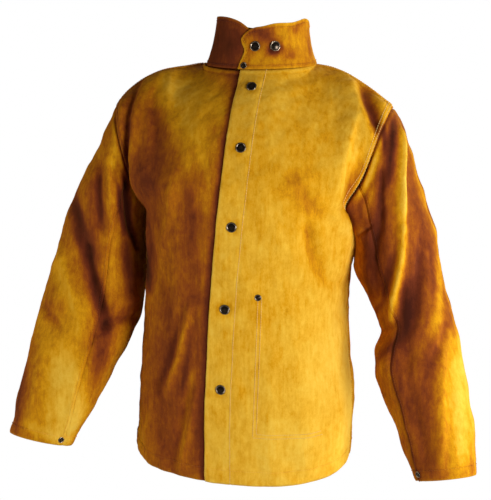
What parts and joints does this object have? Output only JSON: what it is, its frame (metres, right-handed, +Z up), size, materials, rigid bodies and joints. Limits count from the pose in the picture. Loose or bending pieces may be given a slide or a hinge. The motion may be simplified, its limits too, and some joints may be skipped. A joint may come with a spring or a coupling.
{
  "type": "welding jacket",
  "caption": "Golden-yellow suede leather welding jacket, worn shape, with a stand collar, set-in sleeves and a lapped front closed by dark press snaps.",
  "frame": {"origin": "middle of the neck opening at the height of the shoulder seams' neck ends", "axes": "+Z up, -Y is the way the wearer faces, +X towards the wearer's left"},
  "size_m": [0.8342, 0.3035, 0.7908],
  "materials": {
    "suede": "napped split cowhide, matt, golden yellow to red-brown",
    "snap_metal": "blackened, satin"
  },
  "bodies": {
    "root": {"back_panel": "suede", "front_panel_right": "suede", "front_panel_left": "suede", "collar": "suede", "top_sleeve_left": "suede", "under_sleeve_left": "suede", "top_sleeve_right": "suede", "under_sleeve_right": "suede", "front_snap_1": "snap_metal", "front_snap_2": "snap_metal", "front_snap_3": "snap_metal", "front_snap_4": "snap_metal", "front_snap_5": "snap_metal", "collar_snap_1": "snap_metal", "collar_snap_2": "snap_metal", "collar_rivet": "snap_metal", "pocket_rivet": "snap_metal", "cuff_rivet_left": "snap_metal", "cuff_rivet_right": "snap_metal"}
  },
  "joints": []
}
